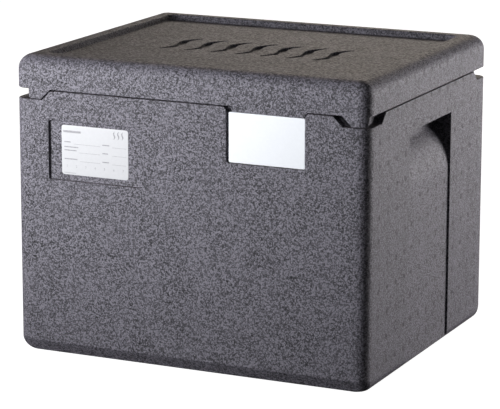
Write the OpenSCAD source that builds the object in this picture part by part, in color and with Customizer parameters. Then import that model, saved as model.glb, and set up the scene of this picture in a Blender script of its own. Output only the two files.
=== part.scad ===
// Insulated top-loading food carrier, moulded in foam, for one half-size gastronorm pan.
// The origin is at the centre of the base, +Z is up, and the labelled front faces -Y.

/* [Tub] */
// Width across the front, left to right
body_w = 390; // [370:1:410]
// Depth, front to back
body_d = 330; // [310:1:350]
// Height of the closed carrier, foot included
total_h = 316; // [296:1:336]
// Radius of the four upright edges
corner_r = 12.5; // [10:0.5:14]
// Height of the bevel under the front and the back
bevel_h = 13; // [12:0.5:16]
// How far the bevel goes in under the walls
bevel_in = 9; // [4:0.5:12]
// Radius of the round under the two end walls
end_round_r = 11; // [6:0.5:12]
// Height of the foot, which drops into the lid of the carrier below
foot_h = 5; // [3:0.5:5]

/* [Cavity] */
// Inside width
cavity_w = 338; // [330:1:340]
// Inside depth
cavity_d = 277; // [270:1:279]
// Inside height under the closed lid
cavity_h = 257; // [230:1:257]
// Radius of the cavity's upright corners
cavity_r = 20; // [14:1:24]
// Radius where the cavity's walls meet its floor
floor_r = 10; // [4:1:12]

/* [Lid] */
// Height of the lid's side, from the parting line to the top
lid_h = 35; // [33:0.5:40]
// Radius of the lid's top outer edge
lid_edge_r = 15; // [8:0.5:16]
// Width of the raised rim round the lid's top
rim_w = 24; // [20:0.5:26]
// Depth of the stacking recess inside the rim
recess_depth = 6; // [6:0.5:7]
// Gap left at the parting line when the lid is down
parting_gap = 0.8; // [0.3:0.1:0.9]

/* [Sealing lip] */
// Width of the seat outside the lip
seat_w = 8; // [7:0.5:10]
// Height of the lip above the seat
lip_h = 8; // [5:0.5:8]
// Radius of the lip's outer corners
lip_r = 12; // [8:0.5:14]
// Clearance between the lip and the lid's groove
lip_gap = 0.4; // [0.3:0.1:1]

/* [Corner notches] */
// Height of each notch under the parting line, and the run of its sloping ends
notch_drop = 10; // [6:0.5:12]
// Length along the front of the notch that the lid's wide tab fills
wide_front_run = 41.5; // [38:0.5:46]
// Length along the side of the same notch
wide_side_run = 39.5; // [36:0.5:46]
// Length along the front of the notch with the corner tab
corner_front_run = 38; // [36:0.5:46]
// Length along the side of the same notch
corner_side_run = 42.5; // [36:0.5:46]

/* [Hand holds] */
// Width of the hand hold in each end face
grip_w = 116; // [100:1:130]
// Height of the hand hold's ceiling above the base
grip_top = 249; // [240:1:255]
// Depth of the hand hold under its ceiling
grip_depth = 20.5; // [14:0.5:21]
// Radius of the sweep that leads the fingers in
grip_r = 66; // [62:1:80]
// Depth of the channel that runs down from the hand hold
channel_depth = 2; // [1:0.5:4]

/* [Label pocket] */
// Width of the pocket
label_pocket_w = 105.5; // [90:0.5:110]
// Height of the pocket
label_pocket_h = 61; // [56:1:66]
// Depth of the pocket
label_pocket_depth = 2.5; // [1.5:0.5:5]
// Width of the write-on label
label_w = 76; // [70:1:80]
// Height of the write-on label
label_h = 51; // [45:1:54]

/* [Plate pocket] */
// Width of the pocket
plate_pocket_w = 84; // [83:0.5:92]
// Height of the pocket, up to the parting line
plate_pocket_h = 56; // [55:1:58]
// Depth of the pocket
plate_pocket_depth = 5; // [4:0.5:5.5]
// Width of the blank identity plate
plate_w = 82; // [70:0.5:82]
// Height of the plate
plate_h = 50.5; // [46:0.5:51]
// Thickness of the plate
plate_t = 3; // [1.5:0.5:3.5]

/* [Hidden] */
$fn = 64;

// Faces
front_y = -body_d / 2;
end_x = body_w / 2;

// Heights
seat_z = total_h - lid_h;           // parting line
lip_z = seat_z + lip_h;
lid_z = seat_z + parting_gap;
recess_z = total_h - recess_depth;
floor_z = 27;                       // cavity floor
ceiling_z = floor_z + cavity_h;     // underside of the lid's plug
groove_z = lip_z + lip_gap;
edge_z = total_h - lid_edge_r;       // where the lid's side starts to turn over
notch_z = seat_z - notch_drop;
sweep_z = 190;                      // where the hand hold's sweep starts

lid_top_r = 3;                      // least radius of the outline where the side has turned over

// Stacking recess in the lid, and the foot that drops into it
recess_slope = 3;                   // run of the recess's sloping wall
recess_r = 6;
foot_gap = 2;
foot_inset = rim_w + recess_slope + foot_gap;
foot_w = body_w - 2 * foot_inset;
foot_d = body_d - 2 * foot_inset;
foot_bevel = 1.5;
foot_r = 5;

// Lid plug, which drops inside the lip
plug_gap = 0.5;
plug_w = cavity_w - 2 * plug_gap;
plug_d = cavity_d - 2 * plug_gap;

// Tabs under the lid
tab_gap = 0.6;                      // over a notch's floor, and beside its sloping end
tab_z = notch_z + tab_gap;
tab_r = 3;
wide_tab_inset = 16.5;              // from the end face to the wide tab
corner_tab_front = 28.7;            // length of the corner tab's top edge along the front
corner_tab_side = 5.5;              // how far it wraps round onto the side
keeper_left = 49.5;                 // left end of the tab that keeps the plate in
keeper_gap = 0.3;

// Places on the front
pocket_r = 2;
label_pocket_x = -103.2;
label_pocket_z = 220.5;
label_x = -104.3;
label_z = 221.6;
label_t = 0.2;
label_r = 3;
plate_pocket_right = 127.5;
plate_pocket_left = plate_pocket_right - plate_pocket_w;
plate_pocket_x = plate_pocket_right - plate_pocket_w / 2;
plate_pocket_z = seat_z - plate_pocket_h;
plate_gap = 0.3;                    // clearance under, behind and beside the plate
plate_z = plate_pocket_z + plate_gap;
plate_x = plate_pocket_right - plate_gap - plate_w / 2;
plate_r = 1;
mouth_flare = 3;                    // the plate pocket's mouth widens at the rim

// Moulded emblem on the lid: a row of rising steam waves
wave_count = 7;
wave_pitch = 29;
wave_len = 72;
wave_w = 9;
wave_sway = 6;
wave_lean = 16;
wave_depth = 3;
wave_steps = 16;

eps = 0.01;
over = 1;                           // how far a cutter runs past the face it cuts

foam = "#3b3a3f";
paper = "#f2f3f5";
plate_white = "#eef4f8";

// A flat rectangle with round corners
module plate(w, d, r) {
    square([w - 2 * r, d], center = true);
    square([w, d - 2 * r], center = true);
    for (x = [-1, 1], y = [-1, 1])
        translate([x * (w / 2 - r), y * (d / 2 - r)])
            circle(r = r);
}

// A slab of that outline, standing on z
module slab(w, d, r, z, h) {
    translate([0, 0, z])
        linear_extrude(h)
            plate(w, d, r);
}

// An XZ outline given thickness behind the front face
module behind_front(thick) {
    translate([0, front_y + thick, 0])
        rotate([90, 0, 0])
            linear_extrude(thick + over)
                children();
}

// A YZ outline, with Y as its first axis, given thickness inside the +X end face
module behind_end(thick) {
    translate([end_x - thick, 0, 0])
        rotate([90, 0, 90])
            linear_extrude(thick + over)
                children();
}

// The same shape at both ends of a diagonal, so the lid fits either way round
module both_ways() {
    for (a = [0, 180])
        rotate([0, 0, a])
            children();
}

// The walls' outline, with a flat bevel under the front and back, a round under each end, and the foot
module outer_block() {
    slab(body_w, body_d, corner_r, foot_h + bevel_h, seat_z - foot_h - bevel_h);
    hull() {
        slab(body_w, body_d, corner_r, foot_h + bevel_h, eps, $fn = 32);
        for (a = [0 : 15 : 90]) {
            end_inset = end_round_r * (1 - cos(a));
            rise = end_round_r * (1 - sin(a));
            front_inset = bevel_in * (1 - rise / bevel_h);
            slab(body_w - 2 * end_inset, body_d - 2 * front_inset, corner_r - front_inset / 2,
                foot_h + rise, eps, $fn = 32);
        }
    }
    hull() {
        slab(foot_w, foot_d, foot_r, foot_bevel, foot_h, $fn = 32);
        slab(foot_w - 2 * foot_bevel, foot_d - 2 * foot_bevel, foot_r - foot_bevel, 0, eps, $fn = 32);
    }
}

// The lip's outline, grown by a clearance, from z up
module lip_block(z, h, grow = 0) {
    slab(body_w - 2 * (seat_w - grow), body_d - 2 * (seat_w - grow), lip_r + grow, z, h);
}

// The space for the pan: straight walls over a floor with a rounded foot
module cavity() {
    slab(cavity_w, cavity_d, cavity_r, floor_z + floor_r, total_h);
    hull()
        for (a = [0 : 15 : 90]) {
            inset = floor_r * (1 - cos(a));
            slab(cavity_w - 2 * inset, cavity_d - 2 * inset, cavity_r - inset,
                floor_z + floor_r * (1 - sin(a)), eps, $fn = 32);
        }
}

// A notch's outline along +X: run long at the parting line, with a sloping end, up to a corner at half
module notch_outline(half, run) {
    polygon([
        [half - run, lip_z],
        [half - run, seat_z],
        [half - run + notch_drop, notch_z],
        [half + over, notch_z],
        [half + over, lip_z]
    ]);
}

// The notch round the corner at +X, -Y, outside the lip
module corner_notch(front_run, side_run) {
    difference() {
        union() {
            behind_front(2 * seat_w)
                notch_outline(end_x, front_run);
            behind_end(2 * seat_w)
                mirror([1, 0])
                    notch_outline(-front_y, side_run);
        }
        lip_block(0, total_h);
    }
}

// Two opposite corners take the lid's corner tabs, and the other two its wide tabs
module notches() {
    both_ways()
        corner_notch(corner_front_run, corner_side_run);
    both_ways()
        mirror([1, 0, 0])
            corner_notch(wide_front_run, wide_side_run);
}

// The hand hold in the +X face: a sweep that deepens upwards, over a shallow channel
module grip_cut() {
    difference() {
        translate([end_x - grip_depth, -grip_w / 2, sweep_z])
            cube([grip_depth + over, grip_w, grip_top - sweep_z]);
        translate([end_x - channel_depth - grip_r, 0, sweep_z])
            rotate([90, 0, 0])
                cylinder(r = grip_r, h = grip_w + 2 * over, center = true, $fn = 180);
    }
    translate([end_x - channel_depth, -grip_w / 2, -over])
        cube([channel_depth + over, grip_w, sweep_z + 2 * over]);
}

module label_pocket() {
    behind_front(label_pocket_depth)
        translate([label_pocket_x, label_pocket_z])
            plate(label_pocket_w, label_pocket_h, pocket_r);
}

// The plate's pocket is open at the parting line, where its mouth flares
module plate_pocket() {
    behind_front(plate_pocket_depth) {
        translate([plate_pocket_x, plate_pocket_z + plate_pocket_h / 2])
            plate(plate_pocket_w, plate_pocket_h, pocket_r);
        polygon([
            [plate_pocket_left - mouth_flare, seat_z + over],
            [plate_pocket_left - mouth_flare, seat_z],
            [plate_pocket_left, seat_z - mouth_flare],
            [plate_pocket_right, seat_z - mouth_flare],
            [plate_pocket_right + mouth_flare, seat_z],
            [plate_pocket_right + mouth_flare, seat_z + over]
        ]);
    }
}

module tub() {
    color(foam)
        difference() {
            union() {
                outer_block();
                lip_block(seat_z - over, lip_h + over);
            }
            cavity();
            notches();
            label_pocket();
            plate_pocket();
            both_ways()
                grip_cut();
        }
}

// The lid's outside: upright sides that turn over into the top
module lid_block() {
    hull() {
        slab(body_w, body_d, corner_r, lid_z, eps, $fn = 32);
        for (a = [0 : 11.25 : 90]) {
            inset = lid_edge_r * (1 - cos(a));
            slab(body_w - 2 * inset, body_d - 2 * inset, max(corner_r - inset, lid_top_r),
                edge_z + lid_edge_r * sin(a) - eps, eps, $fn = 32);
        }
    }
}

// The recess that the foot of another carrier drops into
module stacking_recess() {
    hull() {
        slab(body_w - 2 * rim_w, body_d - 2 * rim_w, recess_r + recess_slope, total_h, over, $fn = 32);
        slab(foot_w + 2 * foot_gap, foot_d + 2 * foot_gap, recess_r, recess_z, eps, $fn = 32);
    }
}

// A point on one wave's centre line, which leans and sways as steam does
function wave_point(t) = [wave_lean * (t - 0.5) + wave_sway * sin(360 * t), wave_len * (t - 0.5)];
// Half the wave's width there: full half way up, thin at its tips
function wave_half(t) = wave_w / 2 * (0.35 + 0.65 * sin(180 * t));

module wave() {
    left = [for (i = [0 : wave_steps]) wave_point(i / wave_steps) - [wave_half(i / wave_steps), 0]];
    right = [for (i = [wave_steps : -1 : 0]) wave_point(i / wave_steps) + [wave_half(i / wave_steps), 0]];
    polygon(concat(left, right));
}

module emblem() {
    for (i = [0 : wave_count - 1])
        translate([(i - (wave_count - 1) / 2) * wave_pitch, 0, recess_z - wave_depth])
            linear_extrude(wave_depth + over)
                wave();
}

// The ring of the lid that faces the seat, where its tabs hang from
module skirt(z) {
    difference() {
        slab(body_w, body_d, corner_r, z, lid_z + over - z);
        lip_block(z - over, lid_h, lip_gap);
    }
}

// The wide tab fills the front run of its notch and leaves the side run open for the fingers
module wide_tab() {
    slope_foot = end_x - wide_front_run + notch_drop + tab_gap;
    intersection() {
        skirt(tab_z);
        mirror([1, 0, 0])
            behind_front(2 * seat_w) {
                polygon([
                    [slope_foot - notch_drop, seat_z],
                    [slope_foot - notch_drop, seat_z + 2 * over],
                    [end_x - wide_tab_inset, seat_z + 2 * over],
                    [end_x - wide_tab_inset, tab_z + tab_r],
                    [end_x - wide_tab_inset - tab_r, tab_z],
                    [slope_foot - tab_gap, tab_z]
                ]);
                translate([end_x - wide_tab_inset - tab_r, tab_z + tab_r])
                    circle(r = tab_r);
            }
    }
}

// The corner tab ends just round the corner, and leaves a finger gap along the side
module corner_tab() {
    drop = seat_z - tab_z;
    intersection() {
        skirt(tab_z);
        behind_front(body_d / 2)
            polygon([
                [end_x - corner_tab_front, seat_z + 2 * over],
                [end_x - corner_tab_front, seat_z],
                [end_x - corner_tab_front + drop, tab_z],
                [end_x + over, tab_z],
                [end_x + over, seat_z + 2 * over]
            ]);
        behind_end(body_w / 2)
            polygon([
                [front_y + corner_tab_side, seat_z + 2 * over],
                [front_y + corner_tab_side, tab_z],
                [front_y - over, tab_z],
                [front_y - over, seat_z + 2 * over]
            ]);
    }
}

// The keeper closes the mouth of the plate's pocket, over the plate
module keeper() {
    keeper_z = plate_z + plate_h + keeper_gap;
    right = plate_pocket_right + mouth_flare - keeper_gap;
    translate([0, keeper_gap, 0])
        behind_front(plate_pocket_depth - 2 * keeper_gap)
            polygon([
                [keeper_left, seat_z + 2 * over],
                [keeper_left, seat_z - over],
                [keeper_left + over, keeper_z],
                [plate_pocket_right - 2 * keeper_gap, keeper_z],
                [plate_pocket_right - 2 * keeper_gap, seat_z - mouth_flare],
                [right - keeper_gap, seat_z],
                [right, seat_z + 2 * over]
            ]);
}

module lid() {
    color(foam) {
        difference() {
            lid_block();
            stacking_recess();
            emblem();
            lip_block(seat_z - over, ceiling_z - seat_z + over, lip_gap);
            difference() {
                lip_block(ceiling_z - over, groove_z - ceiling_z + over, lip_gap);
                slab(plug_w, plug_d, cavity_r - plug_gap, seat_z, lip_h + over);
            }
        }
        both_ways() {
            wide_tab();
            corner_tab();
        }
        intersection() {
            keeper();
            translate([0, 0, seat_z - 2 * lip_h])
                slab(body_w, body_d, corner_r, 0, 4 * lip_h);
        }
    }
}

module write_on_label() {
    color(paper)
        translate([label_x, front_y + label_pocket_depth, label_z])
            rotate([90, 0, 0])
                linear_extrude(label_t)
                    plate(label_w, label_h, label_r);
}

module id_plate() {
    color(plate_white)
        translate([plate_x, front_y + plate_pocket_depth - plate_gap, plate_z + plate_h / 2])
            rotate([90, 0, 0])
                linear_extrude(plate_t)
                    plate(plate_w, plate_h, plate_r);
}

tub();
lid();
write_on_label();
id_plate();
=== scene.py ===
# %% [markdown]
# # An insulated food carrier in moulded bead foam
# The real carrier is two mouldings in expanded polypropylene, a tub and a lid, with a printed label
# stuck in one pocket and a blank plate standing in another. The CAD frame already holds all four at
# their real sizes. What it lacks is what a moulding tool leaves behind: small radii on every edge,
# the texture of pressed beads, and the marks of the steam vents. This lesson adds those.

# %% Load the frame
import math

import bmesh
import bpy
import numpy as np
from mathutils import Matrix, Vector


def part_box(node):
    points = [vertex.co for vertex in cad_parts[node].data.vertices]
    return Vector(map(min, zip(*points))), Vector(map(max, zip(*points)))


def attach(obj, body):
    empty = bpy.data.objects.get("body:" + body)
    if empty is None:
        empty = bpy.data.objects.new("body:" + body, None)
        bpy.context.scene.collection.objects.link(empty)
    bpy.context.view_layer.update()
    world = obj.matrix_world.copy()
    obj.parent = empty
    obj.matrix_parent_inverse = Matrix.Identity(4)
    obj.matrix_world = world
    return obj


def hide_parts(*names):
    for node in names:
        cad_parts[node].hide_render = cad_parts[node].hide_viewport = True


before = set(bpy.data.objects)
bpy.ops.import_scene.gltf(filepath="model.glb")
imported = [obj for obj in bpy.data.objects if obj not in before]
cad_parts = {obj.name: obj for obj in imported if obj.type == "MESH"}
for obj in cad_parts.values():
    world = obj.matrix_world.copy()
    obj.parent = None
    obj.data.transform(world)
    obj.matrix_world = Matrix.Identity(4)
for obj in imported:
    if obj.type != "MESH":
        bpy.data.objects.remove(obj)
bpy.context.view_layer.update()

# %% [markdown]
# ## Sizes
# Lengths are in millimetres until a mesh is made. The outer sizes are read from the frame, so the
# looks follow the design. The small radii are not in the frame: they are the ones that a foam
# moulding has, about a bead across.

# %% Read the driving sizes
MM = 0.001


def box_mm(node):
    """The lowest and highest corner of a CAD node, in millimetres."""
    low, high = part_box(node)
    return np.array(low) / MM, np.array(high) / MM


tub_low, tub_high = box_mm("tub")
lid_low, lid_high = box_mm("lid")
label_low, label_high = box_mm("write_on_label")
plate_low, plate_high = box_mm("id_plate")

half_w, half_d = tub_high[0], tub_high[1]
lip_top = tub_high[2]
lid_top = lid_high[2]
tab_bottom = lid_low[2]
lip_h = 8.0
seat = lip_top - lip_h
parting_gap = 0.8
lid_bottom = seat + parting_gap
corner_r = 12.5
bead_r = 1.0
print("half sizes", half_w, half_d, "seat", seat, "lid", tab_bottom, lid_top)

# %% [markdown]
# ## Rings of points
# Both mouldings are a profile carried round a rounded rectangle. So that one ring joins the next
# with plain quads, every ring has the same stations: places along the straight sides, and equal
# steps round the four arcs. Stations crowd together where a pocket or notch has an edge, which
# keeps each moulded radius smooth and leaves the flat walls with few faces.

# %% Make stations and outlines
CLOSE = np.array([-1.5, -0.9, -0.5, -0.2, 0.2, 0.5, 0.9, 1.5])
KINK = np.array([-0.7, 0.0, 0.7])


def lines(low, high, groups, step):
    """Coordinates from low to high: beside each edge of a group (edges, spread), the edge plus each
    value of its spread, and even ones between those, at most step apart."""
    near = np.concatenate([np.add.outer(edges, spread).ravel() for edges, spread in groups])
    near = near[(near > low + 0.3) & (near < high - 0.3)]
    near = np.unique(np.round(np.concatenate([[low, high], near]), 3))
    near = near[np.concatenate([[True], np.diff(near) > 0.12])]
    counts = np.ceil(np.diff(near) / step).astype(int)
    parts = [np.linspace(a, b, n, endpoint=False) for a, b, n in zip(near[:-1], near[1:], counts)]
    return np.concatenate(parts + [near[-1:]])


def stations(x_lines, y_lines, arc_steps=8):
    """Places round an outline, anticlockwise from the left end of the front: each has its place along
    the straight sides, (tx, ty), and the angle of the direction that faces outwards."""
    rx, ry = x_lines[-1], y_lines[-1]
    quarter = math.pi / 2
    turn = np.linspace(0, quarter, arc_steps + 1)[1:-1]
    runs = [
        (x_lines, -ry, -quarter), (rx, -ry, turn - quarter),
        (rx, y_lines, 0.0), (rx, ry, turn),
        (x_lines[::-1], ry, quarter), (-rx, ry, turn + quarter),
        (-rx, y_lines[::-1], 2 * quarter), (-rx, -ry, turn + 2 * quarter),
    ]
    table = np.concatenate([np.stack(np.broadcast_arrays(*run), -1).reshape(-1, 3) for run in runs])
    return {"x": x_lines, "y": y_lines, "table": table.T}


def squeeze(t, straight, reach, margin=6.0):
    """Keeps a place along a side where it is, but closes up or opens out the last few so that they end
    at straight."""
    firm = min(reach, straight) - margin
    past = np.maximum(np.abs(t) - firm, 0) / (reach - firm)
    return np.sign(t) * (np.minimum(np.abs(t), firm) + past * (straight - firm))


def outline(st, half_x, half_y, radius):
    """A rounded rectangle's points: the corner arcs' centres plus the radius times the outward direction."""
    tx, ty, angle = st["table"]
    x = squeeze(tx, half_x - radius, st["x"][-1]) + radius * np.cos(angle)
    y = squeeze(ty, half_y - radius, st["y"][-1]) + radius * np.sin(angle)
    return np.stack([x, y], -1)


def ease(v):
    """0 below 0 and 1 above 1, with a smooth S between."""
    v = np.clip(v, 0, 1)
    return v * v * (3 - 2 * v)


# %% [markdown]
# Rings become a band of quads, and a flat end is closed by a grid whose border meets the last ring
# point for point. The doubled points are merged afterwards, which also turns the corner quads into
# triangles.

# %% Turn rings and grids into a mesh
def band(rings):
    """Quads between each ring of points and the next. rings has the shape (rings, stations, 3)."""
    count, n = rings.shape[:2]
    first = np.arange(count - 1)[:, None] * n
    here = np.arange(n)
    after = (here + 1) % n
    quads = np.stack([first + here, first + after, first + n + after, first + n + here], -1)
    return rings.reshape(-1, 3), quads.reshape(-1, 4)


def grid(points):
    """Quads over a sheet of points with the shape (rows, columns, 3)."""
    rows, columns = points.shape[:2]
    first = (np.arange(rows - 1)[:, None] * columns + np.arange(columns - 1)).ravel()
    quads = np.stack([first, first + 1, first + columns + 1, first + columns], -1)
    return points.reshape(-1, 3), quads


def cap(st, half_x, half_y, z):
    """A flat sheet inside a sharp rectangle, with a row and a column for each station on its sides."""
    x = squeeze(st["x"], half_x, st["x"][-1])
    y = squeeze(st["y"], half_y, st["y"][-1])
    gx, gy = np.meshgrid(x, y)
    return np.stack([gx, gy, np.full_like(gx, z)], -1)


def make_mesh(name, sheets):
    """One closed mesh from sheets of (points in mm, quads), with doubled points merged and normals
    facing out."""
    offsets = np.cumsum([0] + [len(points) for points, _ in sheets[:-1]])
    points = np.concatenate([points for points, _ in sheets]) * MM
    quads = np.concatenate([quads + start for (_, quads), start in zip(sheets, offsets)])
    mesh = bpy.data.meshes.new(name)
    mesh.vertices.add(len(points))
    mesh.vertices.foreach_set("co", points.astype(np.float32).ravel())
    mesh.loops.add(quads.size)
    mesh.loops.foreach_set("vertex_index", quads.astype(np.int32).ravel())
    mesh.polygons.add(len(quads))
    mesh.polygons.foreach_set("loop_start", np.arange(0, quads.size, 4, dtype=np.int32))
    mesh.update(calc_edges=True)
    bm = bmesh.new()
    bm.from_mesh(mesh)
    bmesh.ops.remove_doubles(bm, verts=bm.verts, dist=2e-6)
    bmesh.ops.dissolve_degenerate(bm, edges=bm.edges, dist=1e-7)
    bmesh.ops.recalc_face_normals(bm, faces=bm.faces)
    open_edges = sum(1 for edge in bm.edges if len(edge.link_faces) != 2)
    bm.to_mesh(mesh)
    bm.free()
    mesh.shade_smooth()
    print(name, len(mesh.polygons), "faces,", open_edges, "open edges")
    return mesh


def add_piece(name, mesh, body, slot, *replaced):
    """Puts a finished mesh in the scene, riding on its body and standing for the CAD nodes named."""
    piece = bpy.data.objects.new(name, mesh)
    bpy.context.scene.collection.objects.link(piece)
    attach(piece, body)
    if replaced:
        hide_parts(*replaced)
    return piece


# %% [markdown]
# ## Notches, tabs and the keeper
# The tub's rim drops at each corner, and the lid has tabs that hang into those notches. Two
# opposite corners have a tab that wraps the corner, and the other two have a wide tab on the front
# or back only. All of them are heights worked out from a point's place on the outer outline, so a
# whole ring can be raised or lowered at once.

# %% Heights along the parting line
notch_drop = 10.0
corner_notch_x, corner_notch_y = 38.0, 42.5
wide_notch_x, wide_notch_y = 41.5, 39.5
tab_drop = lid_bottom - tab_bottom
corner_tab_x, corner_tab_y = 28.7, 5.5
wide_tab_inset = 16.5
tab_r = 3.0
steepness, notch_gap, face_band = 12, 0.6, 3.0
print("notches drop", notch_drop, "tabs hang", round(float(tab_drop), 2))


def rise(inside, height):
    """A 45 degree slope up from 0 to height."""
    return np.clip(inside, 0, height)


def notch_depth(x, y):
    """How far the rim drops at a point of the outline: at each corner the lesser of two slopes, one
    along each face."""
    run_x = np.where(x * y < 0, corner_notch_x, wide_notch_x)
    run_y = np.where(x * y < 0, corner_notch_y, wide_notch_y)
    along_x = rise(np.abs(x) - (half_w - run_x), notch_drop)
    along_y = rise(np.abs(y) - (half_d - run_y), notch_drop)
    return np.minimum(along_x, along_y)


def tab_depth(x, y):
    """How far the lid's skirt hangs into the notches: at two corners a tab that ends squarely just round
    the corner, and at the others a wide one along the face."""
    square_end = rise((np.abs(y) - (half_d - corner_tab_y)) * steepness, tab_drop)
    corner = np.minimum(rise(np.abs(x) - (half_w - corner_tab_x), tab_drop), square_end)
    slope = rise(np.abs(x) - (half_w - wide_notch_x) - notch_gap, tab_drop)
    to_end = (half_w - wide_tab_inset) - np.abs(x)
    bite = np.clip(tab_r - to_end, 0, tab_r)
    rounded = tab_drop - tab_r + np.sqrt(tab_r ** 2 - bite ** 2)
    wide = np.where(to_end > 0, np.minimum(slope, rounded), 0.0)
    wide = np.where(np.abs(y) > half_d - face_band, wide, 0.0)
    return np.where(x * y < 0, corner, wide)


# %% [markdown]
# ## Pockets in the walls
# Each pocket is a depth below the wall, worked out at every point. The distance to a rounded
# rectangle, eased from 0 to the full depth over about a bead's width, gives a pocket with soft
# edges. The hand hold's back is a circular sweep that leads the fingers up under a flat ceiling.

# %% Depths below the outer walls
label_pocket_left, label_pocket_right = -155.95, -50.45
label_pocket_floor, label_pocket_ceiling = 190.0, 251.0
plate_pocket_left, plate_pocket_right, plate_pocket_floor = 43.5, 127.5, 225.0
label_pocket_depth, plate_pocket_depth, pocket_r = 2.5, 5.0, 2.0
mouth_flare, flare_reach = 3.0, 8.0
past_the_rim = seat + 40
grip_half, grip_top, grip_depth, grip_r, sweep_start = 58.0, 249.0, 20.5, 66.0, 190.0
channel_depth = 2.0


def sunk(x, z, low, high, radius, depth):
    """Depth of a pocket from corner low to corner high: its full depth inside the rounded rectangle,
    easing to 0 over 1 mm across its edge."""
    qx = np.abs(x - (low[0] + high[0]) / 2) - (high[0] - low[0]) / 2 + radius
    qz = np.abs(z - (low[1] + high[1]) / 2) - (high[1] - low[1]) / 2 + radius
    outside = np.hypot(np.maximum(qx, 0), np.maximum(qz, 0))
    distance = outside + np.minimum(np.maximum(qx, qz), 0) - radius
    return depth * ease(0.5 - distance)


def grip_profile(z):
    """Depth of the hand hold at a height: the channel's, plus the sag of a circle above the sweep's
    start, up to the full depth and then nothing above the ceiling."""
    up = np.clip(z - sweep_start, 0, grip_r * 0.98)
    sweep = channel_depth + grip_r - np.sqrt(grip_r ** 2 - up ** 2)
    return np.minimum(sweep, grip_depth) * ease(0.5 - (z - grip_top))


def faces_front(angle):
    """True where the outline faces straight forwards."""
    return np.sin(angle) < -0.999


def faces_end(angle):
    """True where the outline faces straight left or right."""
    return np.abs(np.cos(angle)) > 0.999


def wall_depth(tx, ty, angle, z):
    """Depth below the outer wall: the label's and plate's pockets in the front, and a hand hold in each
    end. The plate's pocket is open at the rim, so its ceiling is set well past it."""
    label = sunk(tx, z, (label_pocket_left, label_pocket_floor),
                 (label_pocket_right, label_pocket_ceiling), pocket_r, label_pocket_depth)
    plate = sunk(tx, z, (plate_pocket_left, plate_pocket_floor),
                 (plate_pocket_right, past_the_rim), pocket_r, plate_pocket_depth)
    grip = grip_profile(z) * ease(0.5 - (np.abs(ty) - grip_half))
    front = np.where(faces_front(angle), np.maximum(label, plate), 0.0)
    return front + np.where(faces_end(angle), grip, 0.0)


# %% [markdown]
# ## The tub
# The profile starts under the foot, goes out over the shoulder, up the bevel and the wall, in over
# the seat, up and over the sealing lip, and down into the cavity. Each step of it is one ring.

# %% Place the tub's stations
pocket_sides = np.array([label_pocket_left, label_pocket_right, plate_pocket_left, plate_pocket_right])
notch_ends_x = np.array([-167, -163.5, -157, 153.5, 157, 163.5, 167])
notch_ends_y = np.array([-135.5, -132.5, -125.5, -122.5, 122.5, 125.5, 132.5, 135.5])
tub_x = lines(-(half_w - corner_r), half_w - corner_r, [(pocket_sides, CLOSE), (notch_ends_x, KINK)], 9.0)
tub_y = lines(-(half_d - corner_r), half_d - corner_r, [
    (np.array([-grip_half, grip_half]), CLOSE), (notch_ends_y, KINK)], 9.0)
tub_st = stations(tub_x, tub_y)
tx, ty, angle = tub_st["table"]
facing = np.stack([np.cos(angle), np.sin(angle)], -1)
outer_xy = outline(tub_st, half_w, half_d, corner_r)
rim = seat - notch_depth(*outer_xy.T)
print("tub stations", len(tx))


def flat_ring(st, half_x, half_y, radius, z):
    """An outline at one height, or at a height for each station."""
    xy = outline(st, half_x, half_y, radius)
    return np.column_stack([xy, np.broadcast_to(z, len(xy))])


def between(start, end, share):
    """A ring, or its heights, part of the way from one to another."""
    return start + (end - start) * share


def inset_ring(st, shape, inset, z):
    """The ring of a shape (half x, half y, radius) drawn in all round."""
    return flat_ring(st, *(size - inset for size in shape), z)


def quarter_turn(steps):
    """Cosines and sines of equal steps through a right angle."""
    a = np.linspace(0, math.pi / 2, steps + 1)
    return list(zip(np.cos(a), np.sin(a)))


# %% Foot and bevels
foot_x, foot_y, foot_r, foot_h, foot_middle = 166.0, 136.0, 5.0, 5.0, 12
bevel_top, bevel_in, end_round_r = 18.0, 9.0, 11.0


def foot_rings():
    """Under the foot, up its side, and out over the shoulder that stands on the lid of a carrier below:
    steps of (distance in from the foot's side, height)."""
    bevel = 1.5
    steps = [(8.0, 0.0), (bevel + 1.0, 0.0), (bevel, 0.0), (bevel * 0.3, bevel * 0.7), (0.0, bevel),
             (0.0, 2.4), (0.0, 4.0), (0.0, 4.6), (-0.4, foot_h), (-1.2, foot_h), (-6.0, foot_h)]
    sharp = [flat_ring(tub_st, foot_x - foot_middle, foot_y - foot_middle, 0.0, 0.0)]
    return sharp + [flat_ring(tub_st, foot_x - i, foot_y - i, max(foot_r - i, 1.0), z) for i, z in steps]


def end_inset(z):
    """How far the round under an end wall has come in at a height: the sag of a quarter circle."""
    up = np.clip((z - foot_h) / end_round_r, 0, 1)
    return end_round_r * (1 - np.sqrt(1 - (1 - up) ** 2))


def bevel_rings():
    """From the shoulder up the flat bevels of the front and back, which keep crisp edges, and up the
    round under each end wall. The end walls' channels run down through the round."""
    levels = [(foot_h, bevel_in + 3.0), (foot_h, bevel_in + 0.7)]
    levels += [(z, bevel_in * (bevel_top - z) / (bevel_top - foot_h))
               for z in foot_h + end_round_r * (1 - np.cos(np.linspace(0, math.pi / 2, 11)[1:]))]
    levels += [(bevel_top - 0.5, 0.35), (bevel_top, 0.08), (bevel_top + 0.6, 0.0)]
    rings = []
    for z, inset in levels:
        side_inset = end_inset(z)
        ring = flat_ring(tub_st, half_w - side_inset, half_d - inset, corner_r - inset / 2, z)
        already = np.where(faces_end(angle), side_inset, inset)
        extra = np.maximum(wall_depth(tx, ty, angle, z) - already, 0)
        ring[:, :2] -= facing * extra[:, None]
        rings.append(ring)
    return rings


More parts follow.
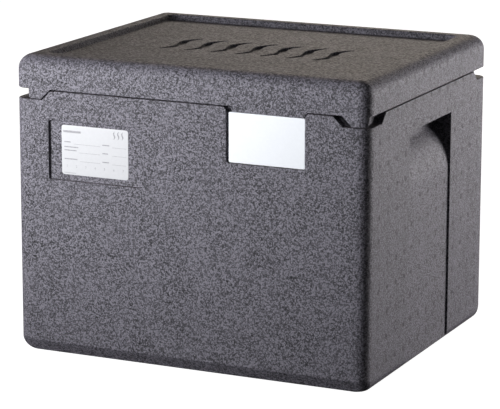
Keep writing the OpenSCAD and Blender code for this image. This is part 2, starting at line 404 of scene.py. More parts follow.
# %% Wall and rim
def wall_rings():
    """Up the outer wall, less the depth of its pockets. The rows above held close up where the rim
    drops, and the plate pocket's two edges flare apart at its mouth."""
    held = seat - 19.0
    sweep = np.arange(sweep_start, grip_top - 12, 3.0)
    edges = np.array([label_pocket_floor, label_pocket_ceiling, grip_top, plate_pocket_floor])
    levels = lines(bevel_top + 1.5, seat - bead_r, [
        (edges, CLOSE), (sweep, np.array([0.0])),
        (np.array([seat - mouth_flare]), KINK), (np.array([seat - bead_r]), np.array([-0.6]))], 11.0)
    rings = []
    for level in levels:
        share = max(level - held, 0) / (seat - bead_r - held)
        z = min(level, held) + share * (rim - bead_r - held)
        rings.append(pocketed(z, level, 0.0))
    return rings


def pocketed(z, level, inset):
    """The outer outline at heights z, sunk by the pockets' depth at a level and by a further inset. Near
    the mouth, points beside the plate's pocket slide sideways by their height above the flare's start."""
    xy = outer_xy - facing * (wall_depth(tx, ty, angle, level) + inset)[:, None]
    flare = np.clip(level - (seat - mouth_flare), 0, mouth_flare)
    left = np.clip(1.4 - np.abs(tx - plate_pocket_left) / flare_reach, 0, 1)
    right = np.clip(1.4 - np.abs(tx - plate_pocket_right) / flare_reach, 0, 1)
    sideways = np.where(faces_front(angle), (right - left) * flare, 0.0)
    xy = xy + np.column_stack([sideways, np.zeros_like(tx)])
    return np.column_stack([xy, np.broadcast_to(z, len(xy))])


def rim_rings():
    """Round the rim's edge, then in over the seat to the foot of the lip."""
    rings = [pocketed(rim - bead_r * (1 - s), seat, bead_r * (1 - c)) for c, s in quarter_turn(4)[1:]]
    last = rings[-1]
    lip_foot = inset_ring(tub_st, lip, -0.3, rim)
    return rings + [between(last, lip_foot, f) for f in (0.15, 0.5, 0.88, 1.0)]


# %% Lip and cavity
cavity = cavity_x, cavity_y, cavity_r = 169.0, 138.5, 20.0
floor_z, floor_r, floor_middle = 27.0, 10.0, 24
lip = lip_x, lip_y, lip_r = half_w - 8.0, half_d - 8.0, 12.0


def lip_rings():
    """Up the lip's outer side and over its rounded top to the cavity's edge."""
    r = 1.5
    top = lip_top - r
    rings = [inset_ring(tub_st, lip, 0.0, between(rim + 0.3, top, f)) for f in (0.0, 0.15, 0.5, 0.88)]
    rings += [inset_ring(tub_st, lip, r * (1 - c), top + r * s) for c, s in quarter_turn(5)]
    rings += [flat_ring(tub_st, lip_x - 2.2, lip_y - 2.2, lip_r - 1, lip_top),
              flat_ring(tub_st, cavity_x + 2.2, cavity_y + 2.2, cavity_r + 1, lip_top)]
    return rings + [inset_ring(tub_st, cavity, -r * (1 - s), lip_top - r * (1 - c))
                    for c, s in quarter_turn(5)]


def cavity_rings():
    """Down the cavity's walls and round into its floor."""
    start = floor_z + floor_r
    depths = [lip_top - 2.3, 240, 190, 140, 90, 60, start + 2]
    rings = [inset_ring(tub_st, cavity, 0.0, z) for z in depths]
    rings += [inset_ring(tub_st, cavity, floor_r * (1 - c), start - floor_r * s) for c, s in quarter_turn(8)]
    rings += [flat_ring(tub_st, cavity_x - floor_r - g, cavity_y - floor_r - g, cavity_r - floor_r, floor_z)
              for g in (1.0, 6.0)]
    return rings + [flat_ring(tub_st, cavity_x - floor_middle, cavity_y - floor_middle, 0.0, floor_z)]


# %% Build the tub
tub_rings = foot_rings() + bevel_rings() + wall_rings() + rim_rings() + lip_rings() + cavity_rings()
tub_mesh = make_mesh("tub_shell", [
    band(np.array(tub_rings)),
    grid(cap(tub_st, foot_x - foot_middle, foot_y - foot_middle, 0.0)),
    grid(cap(tub_st, cavity_x - floor_middle, cavity_y - floor_middle, floor_z))])
tub = add_piece("tub_shell", tub_mesh, "tub", "foam", "tub")

# %% [markdown]
# ## The lid
# The lid is lofted the same way, from the middle of its plug out to the skirt, up the side, over the
# rim and down into the stacking recess. Its emblem is a row of seven steam waves pressed into the
# panel. The panel's columns bend to follow the waves, so that each wave's edge lies along a column
# and stays clean at any angle.

# %% Place the lid's stations
lid_edge_r = 15.0
rim_in, recess_z, recess_in, panel_in = 24.0, lid_top - 6.0, 27.0, 37.0
keeper_left, keeper_right, keeper_z, keeper_in = 49.5, 126.9, plate_high[2] + 0.3, 4.7
wave_count, wave_pitch, wave_len, wave_w, wave_sway, wave_lean = 7, 29.0, 72.0, 9.0, 6.0, 16.0
wave_depth = 3.0
wave_x = (np.arange(wave_count) - (wave_count - 1) / 2) * wave_pitch
tab_ends = np.array([131.0, -176.0, -166.3, -163.9, -154.1, 154.1, 163.9, 166.3, 176.0])

lid_x = lines(-(half_w - corner_r), half_w - corner_r, [
    (np.add.outer(wave_x, [-wave_w / 2, wave_w / 2]).ravel(), np.array([-1.3, -0.6, -0.25, 0.25, 0.6, 1.3])),
    (wave_x, np.array([0.0])),
    (np.array([keeper_left, keeper_right]), np.array([-0.7, 0.0, 0.4, 1.1])),
    (np.array([-178.5, 178.5]), np.array([-3.0, -2.6, -2.0, -1.2, -0.5, -0.01, 0.15, 0.6])),
    (tab_ends, KINK)], 8.0)
lid_y = lines(-(half_d - corner_r), half_d - corner_r, [
    (np.array([-wave_len / 2, wave_len / 2]), CLOSE), (np.array([-150.0, 150.0]), KINK)], 6.0)
lid_st = stations(lid_x, lid_y, 20)
ltx, lty, langle = lid_st["table"]
lid_facing = np.stack([np.cos(langle), np.sin(langle)], -1)
lid_outer = outline(lid_st, half_w, half_d, corner_r)
skirt = lid_bottom - tab_depth(*lid_outer.T)
print("lid stations", len(ltx))

# %% Hang the keeper from the skirt
deepest = lid_bottom - keeper_z
keeper_slope = np.minimum((ltx - keeper_left) * 5, 30 - 30 * ease((ltx - keeper_right) / 0.4))
keeper_shoulder = np.clip(mouth_flare - (ltx - keeper_right) + 0.4, 0, mouth_flare)
keeper_hang = np.where(ltx > keeper_right + 0.2, keeper_shoulder, np.clip(keeper_slope, 0, deepest))
over_plate = faces_front(langle) & (ltx > keeper_left)
keeper_hang = np.where(over_plate, np.minimum(keeper_hang, deepest), 0.0)
keeper_skirt = np.minimum(skirt, lid_bottom - keeper_hang)
print("keeper hangs", round(float(keeper_hang.max()), 2))


# %% Plug and skirt
plug = plug_x, plug_y, plug_r = 168.5, 138.0, 19.5
plug_z, plug_middle = 284.0, 24
groove_z, groove_in = lip_top + 0.4, 7.6


def plug_rings():
    """From the plug's face round its edge and up into the groove."""
    r = 1.5
    rings = [flat_ring(lid_st, plug_x - plug_middle, plug_y - plug_middle, 0.0, plug_z)]
    rings += [flat_ring(lid_st, plug_x - g, plug_y - g, plug_r - 3, plug_z) for g in (10.0, 2.5)]
    rings += [inset_ring(lid_st, plug, r * (1 - s), plug_z + r * (1 - c)) for c, s in quarter_turn(5)]
    rings += [inset_ring(lid_st, plug, 0.0, z) for z in (plug_z + 2.2, groove_z - 0.7)]
    return rings + [inset_ring(lid_st, plug, -g, groove_z) for g in (0.4, 1.4)]


def skirt_rings():
    """Out across the groove, down the skirt's inner side, under it past the keeper's step, and round its
    outer edge."""
    wall = inner_x, inner_y, inner_r = half_w - groove_in, half_d - groove_in, lip_r + 0.4
    rings = [inset_ring(lid_st, wall, g, groove_z) for g in (1.4, 0.4)]
    rings += [inset_ring(lid_st, wall, 0.0, between(groove_z - 0.6, skirt + 0.9, f)) for f in (0.0, 0.5, 1.0)]
    r = 0.6
    inner = [flat_ring(lid_st, inner_x + r * (1 - c), inner_y + r * (1 - c), inner_r, skirt + r * (1 - s))
             for c, s in quarter_turn(3)[1:]]
    step = flat_ring(lid_st, half_w - keeper_in - 0.3, half_d - keeper_in - 0.3, corner_r - 3, skirt)
    rings += inner + [between(inner[-1], step, 0.5), step]
    rings += [flat_ring(lid_st, half_w - keeper_in + g, half_d - keeper_in + g, corner_r - 3,
                        keeper_skirt + 0.3 - g) for g in (0.0, 0.3)]
    for c, s in quarter_turn(4):
        rings.append(set_back(keeper_skirt + bead_r * (1 - c), bead_r * (1 - s)))
    return rings


def set_back(z, inset):
    """The outer outline at heights z, a little in where the keeper hangs below the lid's own edge."""
    below = ease((lid_bottom + 0.4 - z) / 0.6) * np.where(keeper_hang > 0, 0.35, 0.0)
    xy = lid_outer - lid_facing * (inset + below)[:, None]
    return np.column_stack([xy, z])


# %% Side and recess
def side_rings():
    """Up the lid's side and over its top edge."""
    low, held, top = keeper_skirt + bead_r, lid_bottom + 1.8, lid_top - lid_edge_r
    rings = [set_back(between(low, held, f), 0.0) for f in (0.12, 0.4, 0.62, 0.74, 0.86, 1.0)]
    rings += [set_back(np.full_like(skirt, z), 0.0) for z in (held + 6, top - 5, top - 1)]
    for c, s in quarter_turn(12):
        inset = lid_edge_r * (1 - c)
        radius = corner_r - inset * (corner_r - 3) / lid_edge_r
        rings.append(flat_ring(lid_st, half_w - inset, half_d - inset, radius, top + lid_edge_r * s))
    return rings


def recess_rings():
    """In over the rim and down the recess's sloping wall to the panel."""
    r = 1.4
    steps = [(lid_edge_r + 1.0, lid_top), (rim_in - r - 0.8, lid_top), (rim_in - r, lid_top),
             (rim_in - r * 0.35, lid_top - r * 0.12), (rim_in + 0.1, lid_top - r * 0.55),
             (rim_in + 0.6, lid_top - r), (recess_in - 0.7, recess_z + 1.3),
             (recess_in - 0.2, recess_z + 0.45), (recess_in + 0.5, recess_z + 0.06),
             (recess_in + 1.4, recess_z), (recess_in + 5.0, recess_z)]
    rings = [flat_ring(lid_st, half_w - i, half_d - i, 9.0 - max(i - rim_in, 0), z) for i, z in steps]
    return rings + [flat_ring(lid_st, half_w - panel_in, half_d - panel_in, 0.0, recess_z)]


# %% Press the emblem into the panel
bend_y, bend_fade, sway_x, sway_fade = 62.0, 22.0, 140.0, 36.0


def wave_half(t):
    """Half of a wave's width: full half way up, thin at its tips."""
    return wave_w / 2 * (0.35 + 0.65 * np.sin(math.pi * t))


def emblem(points):
    """Bends the panel's columns to follow the waves and sinks what lies inside them. Across a wave the
    columns spread by its half width over the widest one, and between two waves they share out what is
    left. The bend fades out towards the panel's edges."""
    x, y, z = points[..., 0], points[..., 1], points[..., 2]
    t = np.clip(y / wave_len + 0.5, 0, 1)
    nearest = np.clip(np.round(x / wave_pitch), -(wave_count // 2), wave_count // 2) * wave_pitch
    across = x - nearest
    full, half, gap = wave_w / 2, wave_half(t), wave_pitch / 2
    inside = across * half / full
    outside = np.sign(across) * (half + (np.abs(across) - full) * (gap - half) / (gap - full))
    followed = np.where(np.abs(across) < full, inside, outside)
    followed = np.where(np.abs(across) > gap, across, followed)
    sway = wave_lean * (t - 0.5) + wave_sway * np.sin(2 * math.pi * t)
    hold = ease((bend_y - np.abs(y)) / bend_fade)
    fade = ease((sway_x - np.abs(x)) / sway_fade)
    new_x = x + hold * (followed - across + sway * fade)
    edge = ease(0.5 - (np.abs(across) - full))
    ends = ease(0.5 + (wave_len / 2 - 1.6 * (across / full) ** 2 - np.abs(y)) / 1.2)
    return np.stack([new_x, y, z - wave_depth * edge * ends], -1)


# %% Build the lid
panel = emblem(cap(lid_st, half_w - panel_in, half_d - panel_in, recess_z))
lid_rings = plug_rings() + skirt_rings() + side_rings() + recess_rings()
lid_mesh = make_mesh("lid_shell", [
    band(np.array(lid_rings)), grid(panel),
    grid(cap(lid_st, plug_x - plug_middle, plug_y - plug_middle, plug_z))])
lid = add_piece("lid_shell", lid_mesh, "lid", "lid_foam", "lid")

# %% [markdown]
# ## The label and the plate
# Both are thin slabs with rounded corners, standing on edge. They are lofted lying down, then stood
# up behind the front face by swapping axes. The film is thinner than a business card, and the plate
# has the small rolled edge of a moulded card.

# %% Build the label's film and the plate
def standing_slab(low, high, radius, edge):
    """A slab between two corners of a box, seen from the front: rounded corners, and an edge rolled by a
    small radius."""
    centre, half = (low + high) / 2, (high - low) / 2
    reach_x, reach_z = half[0] - radius, half[2] - radius
    st = stations(np.linspace(-reach_x, reach_x, 15), np.linspace(-reach_z, reach_z, 11))
    t = 2 * half[1]
    back = [(radius, 0.0, 0), (edge + 1.0, 0.0, 1), (edge, 0.0, 1)]
    back += [(edge * (1 - s), edge * (1 - c), 1) for c, s in quarter_turn(4)[1:]]
    front = [(i, t - d, keep) for i, d, keep in reversed(back)]
    rings = [flat_ring(st, half[0] - i, half[2] - i, max(radius - i, 0.0) if keep else 0.0, d)
             for i, d, keep in back + front]
    sheets = [band(np.array(rings))]
    sheets += [grid(cap(st, half[0] - radius, half[2] - radius, d)) for d in (0.0, t)]
    return [(np.column_stack([p[:, 0] + centre[0], high[1] - p[:, 2], p[:, 1] + centre[2]]), quads)
            for p, quads in sheets]


film = add_piece("label_film", make_mesh("label_film", standing_slab(label_low, label_high, 3.0, 0.06)),
                 "tub", "label_film", "write_on_label")
plate = add_piece("blank_plate", make_mesh("blank_plate", standing_slab(plate_low, plate_high, 1.6, 0.5)),
                  "plate", "white_plate", "id_plate")

# %% [markdown]
# ## The label's print
# The label is a form to fill in: a heading bar, a badge, three rows of ruled lines with short
# captions, and the figures 1 to 7 for the days of the week. All of it is generic. Ink is a skin of a
# few hundredths of a millimetre, so each mark is a very thin slab standing on the film, and every
# bar and line is made in one go from a table of its centre and size.

# %% Print the form
ink_t = 0.03
film_front = label_low[1]
label_centre = (label_low + label_high) / 2


def slabs(centres, sizes):
    """Thin closed boxes on the film: each centre, in mm from the label's middle, plus and minus half the
    size."""
    corner = np.array([[-1, 0, -1], [1, 0, -1], [1, 0, 1], [-1, 0, 1],
                       [-1, 1, -1], [1, 1, -1], [1, 1, 1], [-1, 1, 1]])
    faces = np.array([[0, 1, 2, 3], [5, 4, 7, 6], [4, 0, 3, 7], [1, 5, 6, 2], [3, 2, 6, 7], [4, 5, 1, 0]])
    half = np.column_stack([sizes[:, 0] / 2, np.full(len(sizes), ink_t), sizes[:, 1] / 2])
    middle = np.column_stack([centres[:, 0] + label_centre[0], np.full(len(sizes), film_front - ink_t),
                              centres[:, 1] + label_centre[2]])
    points = (middle[:, None] + half[:, None] * corner).reshape(-1, 3)
    return points, (faces + np.arange(len(sizes))[:, None, None] * 8).reshape(-1, 4)


def dashes(left, right, heights, thick):
    """Horizontal marks from left to right at each height: rows of centre x, centre z, width and thickness."""
    left, right, heights = np.broadcast_arrays(left, right, heights)
    return np.column_stack([(left + right) / 2, heights, right - left, np.full(len(heights), thick)])


def form_marks():
    """The form's bars and lines: a heading, then three rows of captions with a ruled line after each, in
    two columns, and a line of small print."""
    rules = np.array([6.5, -2.1, -11.0])
    table = np.concatenate([
        dashes(-36.0, [-16.0], [19.0], 2.2),
        dashes(-35.0, [-27.5, -19.0, -21.0, -20.0], [8.3, 3.2, -0.2, -9.2], 1.15),
        dashes(8.5, [16.5, 15.0, 16.0], rules + 1.7, 1.15),
        dashes([-24.0, -18.5, -17.0], 6.0, rules, 0.32),
        dashes(19.6, 35.5, rules, 0.32),
        dashes(-35.0, [-22.0], [-23.6], 0.45)])
    return table[:, :2], table[:, 2:]


# %% Print the figures and the badge
figure_size, first_figure, figure_step, figure_z = 3.6, -31.9, 10.65, -17.7


def day_figures():
    """The figures 1 to 7 as thin solid type, spread along the label's foot."""
    parts = []
    for day in range(7):
        type_curve = bpy.data.curves.new(f"day_{day + 1}", "FONT")
        type_curve.body = str(day + 1)
        type_curve.size = figure_size * MM
        type_curve.extrude = ink_t / 2 * MM
        type_curve.align_x = "CENTER"
        type_curve.resolution_u = 3
        holder = bpy.data.objects.new(f"day_{day + 1}", type_curve)
        bpy.context.scene.collection.objects.link(holder)
        bpy.context.view_layer.update()
        solid = bpy.data.meshes.new_from_object(holder.evaluated_get(bpy.context.evaluated_depsgraph_get()))
        bpy.data.objects.remove(holder)
        bpy.data.curves.remove(type_curve)
        flat = np.zeros(len(solid.vertices) * 3, np.float32)
        solid.vertices.foreach_get("co", flat)
        flat = flat.reshape(-1, 3).astype(float)
        place = [label_centre[0] + first_figure + figure_step * day, film_front - ink_t / 2,
                 label_centre[2] + figure_z]
        upright = np.column_stack([flat[:, 0], -flat[:, 2], flat[:, 1]]) + np.array(place) * MM
        solid.vertices.foreach_set("co", upright.astype(np.float32).ravel())
        solid.update()
        parts.append(solid)
    return parts


def badge_marks():
    """A badge of three steam waves: each wave is a strip round a sine curve, given the ink's thickness."""
    t = np.linspace(0, 1, 15)
    sheets = []
    for k in range(3):
        x = 21.5 + k * 4.6 + 0.9 * np.sin(2 * math.pi * t) + 1.2 * t
        z = 15.0 + 8.2 * t
        half = 0.85 * (0.3 + 0.7 * np.sin(math.pi * t))
        loop = np.array([[x - half, z], [x + half, z]])
        front = np.stack([loop[:, 0] + label_centre[0], np.full_like(loop[:, 0], film_front - ink_t),
                          loop[:, 1] + label_centre[2]], -1)
        back = front + np.array([0, ink_t, 0])
        tube = np.stack([front[0], front[1], back[1], back[0]], 1).transpose(1, 0, 2)
        sides = np.concatenate([tube, tube[:1]])
        sheets.append(grid(sides))
        sheets.append(grid(np.stack([tube[[0, 1], 0], tube[[3, 2], 0]])))
        sheets.append(grid(np.stack([tube[[0, 1], -1], tube[[3, 2], -1]])))
    return sheets


# %% Join the print
ink_mesh = make_mesh("label_ink", [slabs(*form_marks())] + badge_marks())
bm = bmesh.new()
bm.from_mesh(ink_mesh)
for figure in day_figures():
    bm.from_mesh(figure)
    bpy.data.meshes.remove(figure)
bmesh.ops.remove_doubles(bm, verts=bm.verts, dist=1e-7)
bm.to_mesh(ink_mesh)
bm.free()
ink_mesh.shade_flat()
ink = add_piece("label_ink", ink_mesh, "tub", "label_film")
print("ink faces", len(ink_mesh.polygons))

# %% [markdown]
# ## Shared shader effects
# Pressed bead foam has a skin of flattened beads with tiny pits between them, and every face of the
# moulding shows it, so the grain is one node group with its own grain size wherever it is used. A
# group gives only masks, heights and colours. The Principled BSDF stays in each material.

# %% Node helpers
def wire(tree, kind, inputs=(), **settings):
    """Adds a node, sets its properties, then for each (socket, value) links a socket or stores a number."""
    node = tree.nodes.new(kind)
    for key, value in settings.items():
        setattr(node, key, value)
    for socket, value in dict(inputs).items():
        if isinstance(value, bpy.types.NodeSocket):
            tree.links.new(value, node.inputs[socket])
        else:
            node.inputs[socket].default_value = value
    return node


def calc(tree, operation, a, b=0.0, c=0.0):
    """A Math node's result."""
    return wire(tree, "ShaderNodeMath", {0: a, 1: b, 2: c}, operation=operation).outputs[0]


def times(tree, a, b):
    """A product."""
    return calc(tree, "MULTIPLY", a, b)


def remap(tree, value, low, high, to_low=0.0, to_high=1.0):
    """A clamped, smoothed change of range."""
    return wire(tree, "ShaderNodeMapRange", {0: value, 1: low, 2: high, 3: to_low, 4: to_high},
                interpolation_type="SMOOTHSTEP").outputs[0]


def blend(tree, factor, a, b, kind="MIX"):
    """A mix of two colours."""
    colours = {0: factor, 6: a, 7: b}
    return wire(tree, "ShaderNodeMix", colours, data_type="RGBA", blend_type=kind).outputs[2]


def mixed(tree, share, a, b):
    """A mix of two numbers."""
    return wire(tree, "ShaderNodeMix", {0: share, 2: a, 3: b}, data_type="FLOAT").outputs[0]


def noise(tree, place, scale, detail, **more):
    """A noise texture's value; more sets its other sockets by name."""
    sockets = {"Vector": place, "Scale": scale, "Detail": detail, **more}
    return wire(tree, "ShaderNodeTexNoise", sockets).outputs[0]


def blank_material(name):
    """A material whose node tree is empty, and that tree."""
    material = bpy.data.materials.new(name)
    material.use_nodes = True
    material.node_tree.nodes.clear()
    return material, material.node_tree


def show(tree, shader, kind="ShaderNodeOutputMaterial"):
    """Sends a shader to the tree's output."""
    tree.links.new(shader, tree.nodes.new(kind).inputs[0])


def make_group(name, inputs, outputs):
    """An empty shader group with named sockets."""
    group = bpy.data.node_groups.new(name, "ShaderNodeTree")
    for label, kind, value in inputs:
        socket = group.interface.new_socket(label, in_out="INPUT", socket_type=kind)
        if value is not None:
            socket.default_value = value
    for label, kind in outputs:
        group.interface.new_socket(label, in_out="OUTPUT", socket_type=kind)
    start = group.nodes.new("NodeGroupInput").outputs
    end = group.nodes.new("NodeGroupOutput").inputs
    return group, start, end


# %% The bead grain group
def bead_grain_group():
    """Pressed beads at one size. The height is a noise, less 0.4 of the distance from a bead's middle,
    plus 0.35 of its tone, less the pit."""
    tree, given, out = make_group("bead_grain", [
        ("Vector", "NodeSocketVector", None), ("Scale", "NodeSocketFloat", 500.0),
        ("Pits", "NodeSocketFloat", 0.62)],
        [("Height", "NodeSocketFloat"), ("Fleck", "NodeSocketFloat"), ("Pit", "NodeSocketFloat")])
    vector, scale, pits = given[0], given[1], given[2]
    domes = wire(tree, "ShaderNodeTexVoronoi", {"Vector": vector, "Scale": scale, "Randomness": 1.0}).outputs
    tone = wire(tree, "ShaderNodeSeparateXYZ", {0: domes["Color"]}).outputs
    rough = noise(tree, vector, times(tree, scale, 0.9), 3.0, Roughness=0.8)
    apart = noise(tree, vector, times(tree, scale, 0.6), 2.0, Distortion=0.6)
    pit = remap(tree, apart, pits, calc(tree, "ADD", pits, 0.05))
    proud = calc(tree, "SUBTRACT", rough, times(tree, domes["Distance"], 0.4))
    height = calc(tree, "ADD", proud, times(tree, tone[0], 0.35))
    tree.links.new(calc(tree, "SUBTRACT", height, pit), out[0])
    tree.links.new(remap(tree, height, 0.14, 0.80), out[1])
    tree.links.new(pit, out[2])
    return tree


bead_grain = bead_grain_group()

# %% The vent mark group
vent_across, vent_up, vent_start, vent_radius = 0.023, 0.025, 0.2535, 0.0029


def vent_mark_group():
    """A lattice of round marks on a wall that faces X: the distance from the nearest lattice point, made
    ragged by a noise, as a soft disc."""
    tree, given, out = make_group("vent_marks", [
        ("Vector", "NodeSocketVector", None), ("Across", "NodeSocketFloat", vent_across),
        ("Up", "NodeSocketFloat", vent_up), ("Start", "NodeSocketFloat", vent_start),
        ("Radius", "NodeSocketFloat", vent_radius)], [("Mask", "NodeSocketFloat")])
    split = wire(tree, "ShaderNodeSeparateXYZ", {0: given[0]}).outputs
    half_across = times(tree, given[1], 0.5)
    half_up = times(tree, given[2], 0.5)
    dy = calc(tree, "WRAP", split[1], half_across, times(tree, half_across, -1.0))
    dz = calc(tree, "WRAP", calc(tree, "SUBTRACT", split[2], given[3]), half_up,
              times(tree, half_up, -1.0))
    squares = calc(tree, "ADD", times(tree, dy, dy), times(tree, dz, dz))
    ragged = calc(tree, "SUBTRACT", noise(tree, given[0], 260.0, 2.0), 0.5)
    distance = calc(tree, "ADD", calc(tree, "POWER", squares, 0.5), times(tree, ragged, 0.0045))
    outer = times(tree, given[4], 1.25)
    core = times(tree, given[4], 0.7)
    tree.links.new(remap(tree, distance, outer, core), out[0])
    return tree


vent_marks = vent_mark_group()
print("group nodes", len(bead_grain.nodes), len(vent_marks.nodes))

# %% [markdown]
# ## Foam
# The front and back carry a coarse grain from the tool, and the pits between its beads are darkened with
# painted shade. The end walls are smoother, with faint vertical drag marks and the round marks of the steam
# vents, also darkened with painted shade. The top's beads are larger, and where the surface faces up a warm
# tint paints the warm sheen it catches from behind. One material covers all of them by looking at which way
# the surface faces.

# %% Make the foam
coarse_grain, fine_grain, flat_grain = (680.0, 0.63), (760.0, 0.67), (430.0, 0.66)
# painted warm sheen: the tint laid on faces that point up
warm_sheen_tint = (1.0, 0.88, 0.75, 1.0)
grain_relief = 0.0006


def grain(tree, place, scale, pits):
    """The bead grain group at one grain size, as its named outputs."""
    sockets = {"Vector": place, "Scale": scale, "Pits": pits}
    return wire(tree, "ShaderNodeGroup", sockets, node_tree=bead_grain).outputs


def foam_material(name, base, light):
    """Charcoal bead foam: base and light are its dark and pale beads. Where it faces up, a painted warm sheen
    tints it.
    """
    material, tree = blank_material(name)
    place = tree.nodes.new("ShaderNodeTexCoord").outputs
    normal = wire(tree, "ShaderNodeSeparateXYZ", {0: place["Normal"]}).outputs
    end_wall = remap(tree, calc(tree, "ABSOLUTE", normal[0]), 0.75, 0.95)
    upward = remap(tree, normal[2], 0.8, 0.98)
    coarse = grain(tree, place["Object"], *coarse_grain)
    fine = grain(tree, place["Object"], *fine_grain)
    flat = grain(tree, place["Object"], *flat_grain)
    stretched = wire(tree, "ShaderNodeMapping", {0: place["Object"], 3: (260.0, 260.0, 26.0)}).outputs[0]
    drag = noise(tree, stretched, 1.0, 3.0, Roughness=0.65)
    cloud = noise(tree, place["Object"], 30.0, 4.0)
    marks = wire(tree, "ShaderNodeGroup", node_tree=vent_marks)
    tree.links.new(place["Object"], marks.inputs[0])
    vents = times(tree, marks.outputs[0], end_wall)
    worn_vents = times(tree, vents, remap(tree, drag, 0.35, 0.6, 0.35, 1.0))

    def by_face(front, end, top):
        """The front's value, the end walls' where X faces out, or the top's."""
        return mixed(tree, upward, mixed(tree, end_wall, front, end), top)

    fleck, pit, height = (by_face(coarse[part], fine[part], flat[part])
                          for part in ("Fleck", "Pit", "Height"))
    pale = by_face(remap(tree, fleck, 0.12, 0.88), remap(tree, fleck, 0.22, 0.78),
                   remap(tree, fleck, 0.05, 0.95, 0.06, 0.88))
    colour = blend(tree, pale, base, light)
    # painted warm sheen: faces that point up are tinted warm in place of the warm light they catch from
    # behind
    colour = blend(tree, times(tree, upward, 0.7), colour, warm_sheen_tint, "MULTIPLY")
    streak = remap(tree, drag, 0.35, 0.7, 0.0, 0.25)
    colour = blend(tree, times(tree, streak, end_wall), colour, light)
    colour = blend(tree, remap(tree, cloud, 0.35, 0.65, 0.0, 0.16), colour, light)
    # painted shade: the pits between beads and the sunken vent marks are darkened towards a quarter of the
    # base colour
    shadowed = tuple(c * 0.25 for c in base[:3]) + (1.0,)
    pit_and_vent_shade = calc(tree, "MAXIMUM", times(tree, pit, 0.75), times(tree, worn_vents, 0.8))
    colour = blend(tree, pit_and_vent_shade, colour, shadowed)

    sunk_height = calc(tree, "SUBTRACT", height, times(tree, worn_vents, 0.5))
    bump = wire(tree, "ShaderNodeBump", {"Strength": 1.0, "Distance": grain_relief, "Height": sunk_height})
    show(tree, wire(tree, "ShaderNodeBsdfPrincipled", {
        "Base Color": colour, "Roughness": remap(tree, fleck, 0.0, 1.0, 0.62, 0.46),
        "Normal": bump.outputs[0], "Specular IOR Level": 0.35}).outputs[0])
    return material


tub_foam = foam_material("charcoal_foam", (0.028, 0.0265, 0.0315, 1.0), (0.190, 0.181, 0.213, 1.0))
lid_foam = foam_material("charcoal_foam_lid", (0.030, 0.0285, 0.0335, 1.0), (0.196, 0.187, 0.220, 1.0))

# %% [markdown]
# ## Film, ink and plate
# The film is satin paper-white with a faint mottle, the ink is a soft grey, and the plate is a clean
# moulded white with a slight orange peel that only the highlights show. The three differ in numbers
# alone, so one function makes them all.

# %% Make the film, ink and plate finishes
def skin_material(name, base, rough, mottle, scale, lift, specular):
    """A smooth finish: a colour with a faint mottle, and a very low bump of the same noise."""
    material, tree = blank_material(name)
    place = tree.nodes.new("ShaderNodeTexCoord").outputs
    cloud = noise(tree, place["Object"], scale, 3.0)
    shade = tuple(c * (1 - mottle) for c in base[:3]) + (1.0,)
    bump = wire(tree, "ShaderNodeBump", {"Strength": 0.4, "Distance": lift, "Height": cloud})
    show(tree, wire(tree, "ShaderNodeBsdfPrincipled", {
        "Base Color": blend(tree, remap(tree, cloud, 0.3, 0.7), shade, base),
        "Roughness": remap(tree, cloud, 0.3, 0.7, rough - 0.05, rough + 0.05),
        "Normal": bump.outputs[0], "Specular IOR Level": specular}).outputs[0])
    return material


film_skin = skin_material("satin_film", (0.47, 0.475, 0.485, 1.0), 0.42, 0.03, 300.0, 0.00002, 0.5)
ink_skin = skin_material("grey_ink", (0.33, 0.33, 0.345, 1.0), 0.6, 0.25, 900.0, 0.00001, 0.3)
plate_skin = skin_material("white_moulded_plate", (0.76, 0.785, 0.81, 1.0), 0.35, 0.015, 420.0, 0.00003, 0.5)
skins = [(tub, tub_foam), (lid, lid_foam), (film, film_skin), (ink, ink_skin), (plate, plate_skin)]
for piece, material in skins:
    piece.data.materials.clear()
    piece.data.materials.append(material)
print("materials", sorted(m.name for m in bpy.data.materials if m.users))

# %% [markdown]
# ## Studio
# The front is brightest at its upper left and falls off to a dark corner, so the key stands low at the
# front left, with a grid on it that keeps its beam narrow. A small glint lamp above it catches the
# lid's front edge. A low panel at the rear right rakes along the end wall, and a weak warm lamp behind
# grazes the top. The background is plain white for the camera only, so it doesn't light the part.

# %% Set the lamps
wide_beam, key_beam = 180.0, 70.0
cool, rosy, warm = (0.965, 0.97, 1.0), (1.0, 0.965, 0.985), (1.0, 0.90, 0.80)
middle = (0.0, 0.0, lid_top * MM / 2)
front_top_left = (-0.10, -0.165, 0.42)


def softbox(name, place, aim, size, power, colour, spread=wide_beam):
    """A rectangular lamp at a place, in metres, turned to face a point; a grid on it narrows the beam to
    the spread, in degrees."""
    lamp = bpy.data.lights.new(name, "AREA")
    lamp.shape = "RECTANGLE"
    lamp.size, lamp.size_y = size
    lamp.energy = power
    lamp.color = colour
    lamp.spread = math.radians(spread)
    holder = bpy.data.objects.new(name, lamp)
    holder.visible_camera = False
    holder.location = place
    direction = np.array(aim) - np.array(place)
    holder.rotation_euler = Vector(direction).to_track_quat("-Z", "Y").to_euler()
    bpy.context.scene.collection.objects.link(holder)


softbox("key", (-0.80, -1.0, 0.34), front_top_left, (0.5, 0.4), 4.6, cool, key_beam)
softbox("glint", (-0.5, -1.2, 0.86), middle, (0.2, 0.12), 2.0, cool)
softbox("side_panel", (1.25, 1.4, 0.22), middle, (1.1, 0.4), 29.0, rosy)
softbox("back_light", (-0.5, 1.9, 1.15), middle, (1.2, 0.7), 8.8, warm)
print("lamps", sorted(lamp.name for lamp in bpy.data.lights))

# %% Set the background and the floor
world_light, floor_glow, floor_matte, floor_dull, floor_reach = 0.06, 1.0, 0.30, 0.12, 4.0
white = (1, 1, 1, 1)


def for_camera(tree, others, camera):
    """One shader for the camera and another for every other ray."""
    seen = tree.nodes.new("ShaderNodeLightPath").outputs["Is Camera Ray"]
    return wire(tree, "ShaderNodeMixShader", {0: seen, 1: others, 2: camera}).outputs[0]


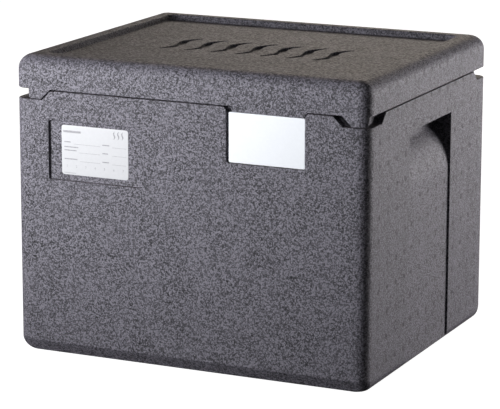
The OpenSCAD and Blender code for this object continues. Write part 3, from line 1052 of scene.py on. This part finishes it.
def floor_material():
    """A pale floor: matte, with enough glow to the camera to meet the white background."""
    material, tree = blank_material("pale_floor")
    matte, dull = (wire(tree, "ShaderNodeBsdfDiffuse", {0: (grey, grey, grey, 1)}).outputs[0]
                   for grey in (floor_matte, floor_dull))
    glow = wire(tree, "ShaderNodeEmission", {0: white, 1: floor_glow}).outputs[0]
    both = wire(tree, "ShaderNodeAddShader", {0: matte, 1: glow}).outputs[0]
    show(tree, for_camera(tree, dull, both))
    return material


world = bpy.data.worlds.new("studio")
bpy.context.scene.world = world
world.use_nodes = True
sky = world.node_tree
sky.nodes.clear()
bright, dim = (wire(sky, "ShaderNodeBackground", {0: white, 1: strength}).outputs[0]
               for strength in (1.0, world_light))
show(sky, for_camera(sky, dim, bright), "ShaderNodeOutputWorld")
floor_mesh = bpy.data.meshes.new("floor")
floor_corners = [(x * floor_reach, y * floor_reach, 0) for x, y in ((-1, -1), (1, -1), (1, 1), (-1, 1))]
floor_mesh.from_pydata(floor_corners, [], [(0, 1, 2, 3)])
floor = bpy.data.objects.new("floor", floor_mesh)
bpy.context.scene.collection.objects.link(floor)
floor_mesh.materials.append(floor_material())

# %% [markdown]
# ## Camera
# A long lens from the right of the front and a little above, which keeps the upright edges nearly
# parallel. The lens is shifted slightly, because the carrier sits off the middle of the frame.

# %% Place the camera
sensor_width = 36.0


def place_camera(azimuth, elevation, roll, distance, target, lens, shift):
    """Stands the camera off the target along a direction given by two angles, then rolls it about that
    direction."""
    a, e, r = (math.radians(v) for v in (azimuth, elevation, roll))
    back = np.array([math.sin(a) * math.cos(e), -math.cos(a) * math.cos(e), math.sin(e)])
    right = np.cross([0, 0, 1], back)
    right /= np.linalg.norm(right)
    up = np.cross(back, right)
    turned_right = math.cos(r) * right + math.sin(r) * up
    turned_up = math.cos(r) * up - math.sin(r) * right
    camera = bpy.data.cameras.new("camera")
    camera.lens, camera.sensor_width = lens, sensor_width
    camera.shift_x, camera.shift_y = shift
    holder = bpy.data.objects.new("camera", camera)
    matrix = np.eye(4)
    matrix[:3, :3] = np.column_stack([turned_right, turned_up, back])
    matrix[:3, 3] = np.array(target) + back * distance
    holder.matrix_world = Matrix(matrix.tolist())
    bpy.context.scene.collection.objects.link(holder)
    bpy.context.scene.camera = holder


place_camera(azimuth=24.74, elevation=12.63, roll=0.15, distance=2.6946, target=(0.0, 0.0, 0.1605),
             lens=184.2, shift=(-0.01254, -0.03014))
bpy.context.scene.view_settings.view_transform = "Standard"
